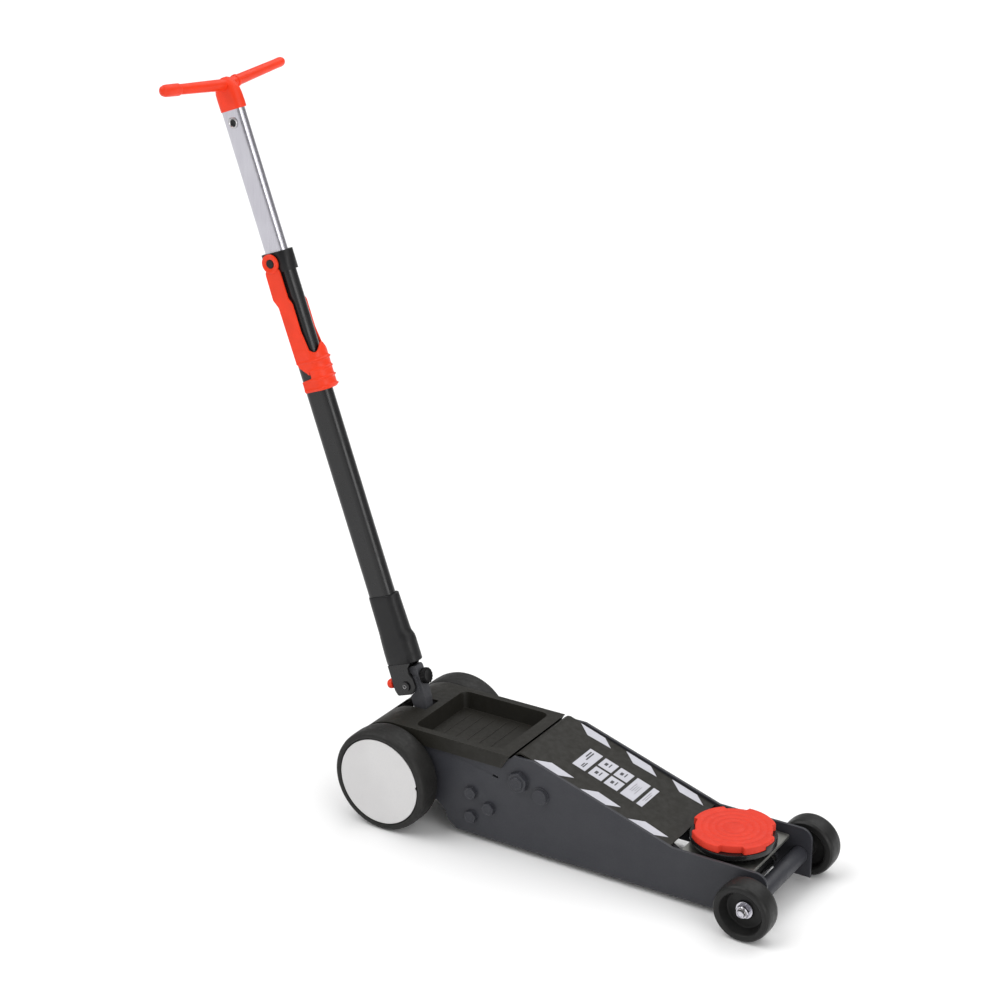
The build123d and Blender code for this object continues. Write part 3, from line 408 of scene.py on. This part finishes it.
def turned(name, profile, origin, axis, material, body, nodes=(), steps=72, smooth=32, shape=None):
    """Turns an open (along, radius) profile about any axis and caps its ends."""
    turn = axis.to_track_quat("Z", "X")
    sections = []
    for along, r in profile:
        ring = []
        for k in range(steps):
            angle = 2 * math.pi * k / steps
            reach = shape(angle, along, r) if shape else r
            spot = Vector((reach * math.cos(angle), reach * math.sin(angle), along))
            ring.append(origin + turn @ spot * MM)
        sections.append(ring)
    points, faces = rings(sections)
    return piece(name, points, faces, material, body, nodes, smooth)


def slab(name, outline, place, near, far, material, body, nodes=(), round_mm=0.8, segments=3):
    """An outline made thick; place turns (a, b, depth) into a point."""
    points, faces = rings([[place(a, b, depth) for a, b in outline] for depth in (near, far)])
    return piece(name, points, faces, material, body, nodes, 30, round_mm, segments)


def hexagon(across, turn_deg, crown):
    """A radius rule for a chamfered hexagon head; crown(y) is the cone that trims its corners."""
    def rule(angle, y, r):
        part = (angle - math.radians(turn_deg)) % (math.pi / 3) - math.pi / 6
        return min(r, across / 2 / math.cos(part), crown(y)) if r > 0.01 else r
    return rule


def islands(name):
    """The boxes, low and high corner, of a node's separate solids."""
    mesh = frame["nodes"][name].data
    build = bmesh.new()
    build.from_mesh(mesh)
    bmesh.ops.remove_doubles(build, verts=build.verts, dist=WELD)
    left, boxes = set(build.verts), []
    while left:
        stack, found = [left.pop()], []
        while stack:
            vert = stack.pop()
            found.append(vert.co.copy())
            for edge in vert.link_edges:
                other = edge.other_vert(vert)
                if other in left:
                    left.remove(other)
                    stack.append(other)
        boxes.append(tuple(Vector([pick(v[i] for v in found) for i in range(3)]) for pick in (min, max)))
    build.free()
    return sorted(boxes, key=lambda b: [round(c, 4) for c in b[0]])


# ------------------------------------------------------------------- wheels
def middle(name):
    """Where a wheel's axis stands, as (x, z)."""
    low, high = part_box(name)
    return ((low[0] + high[0]) / 2, (low[2] + high[2]) / 2)


for side, word in ((-1, "right"), (1, "left")):
    centre = middle(word + "_rear_tyre")
    body = word + "_rear_wheel"
    tread = [(79, 66.5), (79, 73), (81.5, 75.3), (86, 76.4), (93, 77), (107, 77), (114, 76.5), (118, 75.4),
             (120.4, 73), (121, 70), (120.6, 67.6), (119.2, 66.5)]
    lathe(word + "_tyre", rounded(tread, 1.6, 3), centre, side, tyre, body,
          [word + "_rear_tyre"], 160)
    rim = [(79.4, 9.05), (79.4, 17), (81, 19), (89, 20.5), (89, 59), (82, 61), (80.5, 66.4), (119.2, 66.4),
           (118.4, 66.0), (117.2, 63.5), (107, 60.4), (101, 58), (101, 20.5), (109, 18), (110, 17),
           (110, 9.05)]
    lathe(word + "_rim", rounded(rim, 0.9, 3), centre, side, wheel_black, body,
          [word + "_rear_rim"], 160)

    def notched(angle, y, r, centre=centre):
        gap = abs(math.degrees(angle) - 6.0)
        return r - 2.4 * max(0.0, 1 - (gap / 2.2) ** 2) if r > 60 and gap < 2.2 else r

    cap = [(118.8, 0.01), (118.8, 64.6), (119.6, 65.4), (120.3, 65.2), (120.8, 64.3), (120.5, 62.5),
           (119.7, 40), (119.5, 0.01)]
    lathe(word + "_disc", cap, centre, side, disc, body, [word + "_rear_cap"], 240, 40,
          notched)
    for turn in range(6):
        angle = math.radians(60 * turn + 20)
        along = Vector((math.cos(angle), 0, math.sin(angle)))
        across = Vector((-math.sin(angle), 0, math.cos(angle)))
        hub = Vector((centre[0], 0, centre[1]))

        def spoke(a, b, depth, hub=hub, along=along, across=across, side=side):
            return hub + along * a * MM + across * b * MM + Vector((0, side * depth * MM, 0))

        slab(f"{word}_spoke_{turn}", [(19, -1.6), (60, -1.3), (60, 1.3), (19, 1.6)], spoke, 82.5, 90,
             wheel_black, body, (), 0.6, 2)

    centre = middle(word + "_front_wheel")
    body = word + "_front_wheel"
    small = [(85.2, 6.05), (85.2, 13), (93.8, 13.4), (93.8, 27.6), (86.4, 29.6), (84.9, 32), (84.9, 38.6),
             (87.6, 41), (92, 41.8), (98, 42), (105, 42), (111, 41.7), (115, 40.8), (117.4, 38.6),
             (117.7, 35.5), (117.4, 32.6), (116.4, 31.2), (114.6, 30.6), (101.5, 26.6), (100.8, 25),
             (100.8, 13.4), (102, 12.6), (102, 6.05)]
    lathe(word + "_roller", rounded(small, 0.9, 3), centre, side, roller_black, body,
          [word + "_front_wheel"], 128)

# ------------------------------------------------------------ bolts and nuts
def block_bolt(top):
    """A small flanged head, 6 mm high, as its profile and hexagon rule."""
    seat = top - 6.0
    head = [(seat, 0.01), (seat, 10.2), (seat + 0.8, 10.2), (seat + 1.3, 9.7), (seat + 1.31, 10.6),
            (top - 1.2, 10.6), (top - 0.7, 9.9), (top - 0.3, 9.0), (top, 7.9), (top - 0.05, 7.2),
            (top - 0.7, 6.6), (top - 0.8, 0.01)]

    def crown(y):
        return 10.1 - max(0.0, y - top + 1.6) * 0.55 if y > top - 4.6 else 20.0

    return head, hexagon(17.6, 12.0, crown)


def pivot_bolt(top):
    """A large flanged head, 10 mm high, as its profile and hexagon rule."""
    seat = top - 10.0
    head = [(seat, 0.01), (seat, 19.5), (seat + 0.9, 19.5), (seat + 1.8, 18.8), (seat + 2.4, 17.0),
            (seat + 2.41, 17.4), (top - 3.4, 17.4), (top - 2.9, 15.6), (top - 2.5, 13.6), (top - 2.3, 12),
            (top - 2.6, 10.0), (top - 1.0, 9.6), (top - 0.3, 9.0), (top, 8.2), (top - 0.2, 6.8),
            (top - 0.9, 6.0), (top - 1.1, 0.01)]

    def crown(y):
        return 15.9 - max(0.0, y - top + 4.4) * 0.9 if seat + 2.4 < y < top - 2.2 else 30.0

    return head, hexagon(28.0, 20.0, crown)


for node, name, make, steps in (
        ("block_bolts", "block_bolt_", block_bolt, 120), ("pivot_bolts", "pivot_bolt_", pivot_bolt, 144)):
    for number, (low, high) in enumerate(islands(node)):
        side = 1 if high.y > 0 else -1
        centre = ((low.x + high.x) / 2, (low.z + high.z) / 2)
        head, rule = make(max(abs(low.y), abs(high.y)) / MM)
        replaced = [node] if number == 0 else []
        lathe(f"{name}{number}", head, centre, side, paint, "chassis", replaced, steps, 22,
              rule)

# ------------------------------------------------------------------- saddle
pad_low, pad_high = (corner[2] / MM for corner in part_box("saddle_pad"))
dish_low, dish_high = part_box("saddle_dish")
pad_centre = Vector(((dish_low[0] + dish_high[0]) / 2, (dish_low[1] + dish_high[1]) / 2, 0))
PAD_STEPS = 288
GROOVE_RADII = (46, 36, 26, 16)


def pad_radius(angle, edge):
    """The pad's rim with four notches; edge is how far in from the rim, in mm."""
    gap = (math.degrees(angle) + 67.5 + 45) % 90 - 45
    t = min(1.0, max(0.0, (abs(gap) - 15.6) / 2.4))
    blend = t * t * (3 - 2 * t)
    return (53.0 + 6.0 * blend) - edge


def pad_ring(radius_rule, up_mm):
    """A ring of the pad at a height; radius_rule gives the radius at an angle."""
    ring = []
    for k in range(PAD_STEPS):
        angle = 2 * math.pi * k / PAD_STEPS
        reach = radius_rule(angle) * MM
        ring.append(pad_centre + Vector((math.cos(angle) * reach, math.sin(angle) * reach, up_mm * MM)))
    return ring


# the rim, as (height, how far in from the edge)
rim_levels = [(0.0, 2.0), (0.0, 0.9), (0.9, 0.0), (9.4, 0.0), (10.3, 0.25), (10.8, 0.8), (11.0, 1.7),
              (11.0, 5.5)]
sections = [pad_ring(lambda angle, edge=edge: pad_radius(angle, edge), pad_low + height)
            for height, edge in rim_levels]
# the top, with four shallow ring grooves, as (radius, depth)
top_levels = [(groove + step, drop) for groove in GROOVE_RADII
              for step, drop in ((0.8, 0), (0.0, 0.5), (-1.0, 0.5), (-1.8, 0))]
for radius, drop in top_levels + [(5, 0)]:
    sections.append(pad_ring(lambda angle, radius=radius: radius, pad_high - drop))
points, faces = rings(sections)
piece("saddle_cushion", points, faces, rubber, "saddle", ["saddle_pad"], 38)

# --------------------------------------------------------------- handle top
tip_low, tip_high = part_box("t_grip")
half_span = (tip_high[1] - tip_low[1]) / 2 / MM
BAR_RISE = 13.0
BAR_UP = 898.0                   # where the two arms meet, along the handle


def grip_arm(name, side, stations):
    """One arm of the T, from (distance from the middle, radius) stations."""
    line = (Vector((0, side * half_span * MM, 0)) + UP * BAR_RISE * MM).normalized()
    start = on_handle(-1.0, 0, BAR_UP)
    points, faces = rings([
        circle(start + line * along * MM, FORWARD, line.cross(FORWARD), radius, 40)
        for along, radius in stations
    ])
    piece(name, points, faces, red, "t_handle", (), 28)


grip_arm("grip_arm_right", -1, [
    (0, 8.4), (14, 8.2), (half_span - 36.5, 7.2), (half_span - 36, 7.0), (half_span - 35.4, 7.0),
    (half_span - 34.8, 8.2), (half_span - 33.6, 8.6), (half_span - 12, 8.5), (half_span - 7, 8.1),
    (half_span - 3.4, 6.9), (half_span - 1.2, 4.8), (half_span, 2.0),
])
grip_arm("grip_arm_left", 1, [
    (0, 8.4), (14, 8.2), (18, 8.2), (18.4, 9.0), (19.2, 9.2), (22.4, 9.2), (23.2, 8.9), (23.4, 7.9),
    (half_span - 20, 6.9), (half_span - 9, 7.1), (half_span - 5, 6.7), (half_span - 2.4, 5.6),
    (half_span - 0.8, 3.8), (half_span, 1.6),
])

# the hub's slot-shaped sections, as (height, depth, width, shift forward)
hub_levels = (
    (862.5, 40.8, 19.0, -0.8), (863.2, 42.2, 20.2, -0.8), (872, 42.2, 20.4, -0.8), (882, 41.8, 20.4, -1.2),
    (889, 40.4, 20.2, -1.6), (893.5, 37.4, 19.8, -1.5), (898, 32.4, 18.6, -1.3), (902, 26.6, 16.8, -1.2),
    (905.5, 20.0, 13.8, -1.1), (907.6, 14.0, 10.2, -1.0), (908.8, 8.0, 6.0, -1.0),
)
points, faces = rings([
    [on_handle(f + TUBE_FORWARD + 1.4, y, up_at) for f, y in obround(depth, width, shift + 0.6)]
    for up_at, depth, width, shift in hub_levels
])
piece("grip_hub", points, faces, red, "t_handle", ["t_grip"], 40)

# rounded bush round the screw, with a black piece in its socket as painted shade
low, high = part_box("grip_screw")
face = max(abs(low[1]), abs(high[1])) / MM
spot = Vector(((low[0] + high[0]) / 2, 0, (low[2] + high[2]) / 2))
ACROSS, UPRIGHT = Vector((1, 0, 0)), Vector((0, 0, 1))
bush = [(8.2, 0.01), (8.2, 8.0), (face - 0.7, 8.0), (face - 0.2, 7.6), (face, 7.0), (face - 0.1, 6.0),
        (face - 0.7, 5.4), (face - 1.2, 5.1), (face - 1.5, 4.4), (face - 1.5, 0.01)]
# a black piece set in the socket: painted shade where the hollow would look dark
socket = [(face - 2.0, 0.01), (face - 2.0, 4.7), (face - 1.0, 4.7), (face - 0.8, 4.4), (face - 1.3, 3.4),
          (face - 1.35, 0.01)]
for side, word in ((-1, "right"), (1, "left")):
    for name, profile, steps, material, slot in (
            ("screw_bush_", bush, 60, bush_steel, "plated_steel"),
            ("screw_socket_", socket, 48, black_plastic, "black_plastic")):
        points, faces = rings([
            circle(spot + Vector((0, side * y * MM, 0)), ACROSS, UPRIGHT, r, steps) for y, r in profile
        ])
        replaced = ["grip_screw"] if (side, name) == (-1, "screw_bush_") else []
        piece(name + word, points, faces, material, "t_handle", replaced, 30)

# ------------------------------------------------------------------- sleeve
# outside from the foot up, as (height, depth, width, shift forward), then down the bore
sleeve_levels = (
    (34.0, 57.4, 28.8, 3.8), (34.9, 58.8, 30.0, 3.8), (52, 58.6, 29.9, 3.9), (66, 57.8, 29.7, 4.2),
    (71, 57.2, 29.5, 4.1), (75, 55.2, 29.1, 3.4), (79, 53.0, 28.7, 2.7), (84, 52.3, 28.5, 2.5),
    (104, 51.4, 27.9, 2.4), (128, 50.4, 27.2, 2.2), (136.8, 50.0, 27.0, 2.2), (138.0, 49.2, 26.4, 2.2),
    (138.5, 47.8, 25.4, 2.0), (138.5, 43.7, 23.2, 0.0), (34.0, 43.7, 23.2, 0.0),
)
points, faces = rings([
    [on_handle(f + TUBE_FORWARD, y, up_at) for f, y in obround(depth, width, shift, 20)]
    for up_at, depth, width, shift in sleeve_levels
], loop=True)
piece("sleeve_shell", points, faces, sleeve_plastic, "handle", ["handle_sleeve"], 35)

# --------------------------------------------------------------------- knob
def knurled(angle, along, r):
    return r - 0.9 * (0.5 + 0.5 * math.cos(14 * angle)) ** 3 if r > 10 else r


knob = [(24.7, 0.01), (24.7, 8.0), (26.6, 8.2), (27.0, 11.0), (27.7, 12.0), (33.4, 12.0), (34.4, 11.5),
        (35.0, 10.4), (35.2, 8.6), (34.6, 7.2), (34.4, 0.01)]
turned("knob_head", knob, on_handle(0, 0, 9.0), FORWARD, knob_black, "knob",
       ["release_knob"], 168, 28, knurled)

# ------------------------------------------------------------ release lever
LEVER_F, LEVER_U = -7.3, 643.0
arm_outline = [
    (LEVER_F - 13.4, LEVER_U - 8), (-21.6, 592), (-15.8, 580), (-15.0, 497), (-11.5, 489), (-1.5, 480),
    (2.0, 476), (4.5, 492),
    (14.0, 505), (9.0, 540), (9.2, 581), (4.8, 590), (4.6, LEVER_U - 8),
]
for side, word in ((-1, "right"), (1, "left")):
    def on_side(a, b, depth, side=side):
        return on_handle(a, side * depth, b)

    slab(f"lever_arm_{word}", rounded(arm_outline, 7, 5), on_side, 15.3, 18.2, red, "lever",
         (), 1.2, 3)
    eye = [(15.1, 6.3), (15.1, 13.2), (16.2, 13.8), (18.6, 13.8), (19.6, 13.0), (19.6, 11.0), (19.0, 9.4),
           (18.2, 7.0), (17.4, 6.3)]
    points, faces = rings([
        circle(on_handle(LEVER_F, side * y, LEVER_U), FORWARD, UP, r, 72) for y, r in rounded(eye, 0.7, 3)
    ], loop=True)
    piece(f"lever_eye_{word}", points, faces, red, "lever", (), 35)

GRIP_LOW, GRIP_HIGH = 452.2, 516.0
GRIP_RADIUS = 18.4
GRIP_BEND = math.pi / 2 * GRIP_RADIUS       # length of a quarter of its round front
GRIP_GRID = 72


def grip_point(turn, up_at, proud):
    """A point round the grip's U; turn runs from -1 (right edge) over 0 (front) to 1."""
    rise = min(1.0, max(0.0, (up_at - 468.5) / 3.5))
    fall = min(1.0, max(0.0, (496.0 - up_at) / 12.0))
    leg = 23.0 - 18.5 * rise * rise * (3 - 2 * rise) * fall * fall * (3 - 2 * fall)
    flat, r = 8.0, GRIP_RADIUS + proud
    run = abs(turn) * (GRIP_BEND + leg)
    if run <= GRIP_BEND:
        angle = run / GRIP_RADIUS
        forward, y = 4.0 + flat + r * math.cos(angle), r * math.sin(angle)
    else:
        forward, y = 4.0 + flat - (run - GRIP_BEND), r
    return on_handle(forward + TUBE_FORWARD, math.copysign(y, turn), up_at)


def grip_top(turn):
    """The cradle: low in front and rising to the arms and the front corners."""
    t = abs(turn)
    return GRIP_HIGH - 9.0 * math.exp(-((t - 0.30) / 0.20) ** 2) + 4.0 * math.exp(-(t / 0.13) ** 2)


def rib(up_at, turn):
    """How far the four grip ribs stand proud, strongest round the front."""
    ridge = sum(math.exp(-((up_at - (GRIP_LOW + 3.3 + 13.5 * k)) / 1.5) ** 2) for k in range(4))
    return ridge * (0.9 + 1.9 * math.exp(-(turn / 0.34) ** 4))


outer_grid, inner_grid = [], []
for i in range(GRIP_GRID + 1):
    turn = -1 + 2 * i / GRIP_GRID
    for j in range(GRIP_GRID + 1):
        up_at = GRIP_LOW + (grip_top(turn) - GRIP_LOW) * j / GRIP_GRID
        ease = min(1.0, min(j, GRIP_GRID - j) / 2.0)
        outer_grid.append(grip_point(turn, up_at, rib(up_at, turn) - 0.7 * (1 - ease)))
        inner_grid.append(grip_point(turn, up_at, -3.2))
offset = len(outer_grid)
row = GRIP_GRID + 1
faces = []
for i in range(GRIP_GRID):
    for j in range(GRIP_GRID):
        a = i * row + j
        faces.append((a, a + row, a + row + 1, a + 1))
        faces.append((offset + a, offset + a + 1, offset + a + row + 1, offset + a + row))
    faces.append((i * row, offset + i * row, offset + (i + 1) * row, (i + 1) * row))
    top = i * row + GRIP_GRID
    faces.append((top, top + row, offset + top + row, offset + top))
for j in range(GRIP_GRID):
    faces.append((j, j + 1, offset + j + 1, offset + j))
    end = GRIP_GRID * row + j
    faces.append((end, offset + end, offset + end + 1, end + 1))
piece("lever_grip", outer_grid + inner_grid, faces, red, "lever", ["release_lever"], 40)

# ------------------------------------------------------- axle end and nuts
washer = [(102.4, 6.02), (102.4, 12.2), (102.9, 12.6), (103.7, 12.6), (104.3, 12.1), (104.3, 6.02)]
nut = [(104.35, 6.02), (104.35, 9.2), (105.0, 10.6), (110.2, 10.6), (111.2, 9.4), (111.9, 8.0), (111.6, 6.5),
       (111.0, 6.02)]
stud = [(110.5, 0.01), (110.5, 5.9), (115.6, 5.9), (116.6, 5.4), (117.0, 4.7), (116.7, 3.9), (115.6, 3.4),
        (115.3, 0.01)]
nut_rule = hexagon(17.0, 15.0, lambda y: 10.2 - max(0.0, y - 110.0) * 0.9)


def nut_shape(angle, y, r):
    """The hexagon outside, and the round thread inside."""
    return r if r < 6.6 else nut_rule(angle, y, r)


for side, word in ((-1, "right"), (1, "left")):
    centre = middle(word + "_front_wheel")
    replaced = ["front_axle_nuts"] if side < 0 else []
    lathe(f"axle_washer_{word}", washer, centre, side, bright_steel, "chassis", (), 96, 30)
    lathe(f"axle_nut_{word}", nut, centre, side, bright_steel, "chassis", replaced, 120, 24,
          nut_shape)
    lathe(f"axle_end_{word}", stud, centre, side, bright_steel, "chassis", (), 72, 28)

# --------------------------------------- screw in the handle's lower pivot
low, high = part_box("fold_bolt")
face = max(abs(low[1]), abs(high[1])) / MM
screw = [(face - 1.0, 0.01), (face - 1.0, 3.2), (face + 0.35, 3.2), (face + 0.6, 2.8), (face + 0.3, 2.2),
         (face - 0.2, 1.9), (face - 0.3, 0.01)]
for side, word in ((-1, "right"), (1, "left")):
    points, faces = rings([circle(on_handle(0, side * y, 0), FORWARD, UP, r, 48) for y, r in screw])
    piece(f"pivot_screw_{word}", points, faces, bush_steel, "handle", (), 30)

# -------------------------------------------- generic bars on the label set
mark = frame["nodes"]["cover_markings"].data
LARGE_FACE = 0.0005              # square metres; smaller faces are skipped
top_face = max(mark.polygons, key=lambda p: p.normal.z if p.area > LARGE_FACE else 0)
top_normal = top_face.normal.copy()
slope = Vector((top_normal.z, 0, -top_normal.x)).normalized()
hinge = Vector(joints["cover_rise"]["pos_m"])
lift = max((v.co - hinge).dot(top_normal) for v in mark.vertices)


def on_cover(along, y, up_at):
    """A point on the cover: along it from its hinge, across it, and above the markings."""
    return hinge + slope * along * MM + Vector((0, y * MM, 0)) + top_normal * (lift + up_at * MM)


def bars():
    """Plain printed bars and blocks: (along, y, length, width)."""
    yield from ((63.5, 12, 2.2, 16), (67.5, 9, 2.2, 22), (73.0, -14, 1.8, 14), (70.0, -15, 1.8, 10))
    for column in (96.0, 122.5):
        for y in (-14, 14):
            yield from ((column - 3.4, y, 4.6, 7.0), (column + 2.6, y + 1.5, 1.8, 10.0))
    for k in range(4):
        yield (145.0 + 3.0 * k, 3 - (k % 2) * 2, 0.6, 22 - 4 * (k % 3))
    for k in range(2):
        yield (169.6 + 2.8 * k, 0, 0.6, 26 - 6 * k)


points, faces = [], []
for along, y, length_mm, width_mm in bars():
    corners = [(along + a * length_mm / 2, y + b * width_mm / 2)
               for a, b in ((-1, -1), (1, -1), (1, 1), (-1, 1))]
    outline = rounded(corners, 0.5, 2)
    block, block_faces = rings([[on_cover(a, b, depth) for a, b in outline] for depth in (-0.1, 0.08)])
    faces += [tuple(i + len(points) for i in face) for face in block_faces]
    points += block
piece("label_bars", points, faces, label_ink, "cover", (), 30)

# -------------------------------------------- rounded edges on the CAD parts
soften("rear_cover lift_cover", 0.9, 3)
soften("pump_yoke", 1.8, 3)
soften("handle_base", 1.3, 3)
soften("tube_collar", 2.2, 3)
soften("fold_button", 1.0, 3)
soften("right_arm_plate left_arm_plate arm_cross_plates carrier_plate crank_cheeks", 0.7)
soften("right_level_link left_level_link", 0.7)
soften("saddle_dish carrier_block pump_block gland_nut front_cross_tube link_studs fold_bolt", 0.6)
soften("right_side_plate left_side_plate", 0.5)


# --------------------------------------------------------- camera and stage
azimuth, elevation = math.radians(31.89), math.radians(21.18)
back = Vector((
    math.sin(azimuth) * math.cos(elevation), -math.cos(azimuth) * math.cos(elevation), math.sin(elevation)
))
camera = bpy.data.objects.new("camera", bpy.data.cameras.new("camera"))
bpy.context.scene.collection.objects.link(camera)
camera.location = Vector((1528.24, -2470.56, 1625.41)) * MM
camera.rotation_mode = "QUATERNION"
camera.rotation_quaternion = (-back).to_track_quat("-Z", "Y")
camera.data.lens = 81.335
camera.data.sensor_width = 36.0
camera.data.clip_end = 300.0
bpy.context.scene.camera = camera


def floor():
    mesh = bpy.data.meshes.new("floor")
    reach = 90
    corners = [(-reach, -reach, 0), (reach, -reach, 0), (reach, reach, 0), (-reach, reach, 0)]
    mesh.from_pydata(corners, [], [(0, 1, 2, 3)])
    obj = bpy.data.objects.new("floor", mesh)
    bpy.context.scene.collection.objects.link(obj)
    s = Surface("pale_floor", (0.96, 0.96, 0.96), 0.6)
    s.tint(s.noise(400, 2), (0.95, 0.95, 0.95), 0.5)
    mesh.materials.append(s.material)


def sun(name, travel, strength, spread_deg):
    """A soft far light; travel is the way its light goes."""
    data = bpy.data.lights.new(name, "SUN")
    data.energy = strength
    data.angle = math.radians(spread_deg)
    obj = bpy.data.objects.new(name, data)
    bpy.context.scene.collection.objects.link(obj)
    obj.rotation_mode = "QUATERNION"
    obj.rotation_quaternion = Vector(travel).to_track_quat("-Z", "Y")


floor()
sun("key", (0.75, 0.55, -1.25), 1.5, 50)
sun("right", (-0.9, 0.2, -0.75), 0.8, 50)
sun("behind", (-0.1, -0.75, -1.25), 1.2, 60)
sun("strip", (-0.84, 0.54, -0.10), 0.75, 30)
world = bpy.data.worlds.new("studio")
bpy.context.scene.world = world
world.use_nodes = True
world.node_tree.nodes["Background"].inputs["Color"].default_value = (1.0, 1.0, 1.0, 1)
world.node_tree.nodes["Background"].inputs["Strength"].default_value = 0.36
bpy.context.scene.view_settings.view_transform = "Standard"
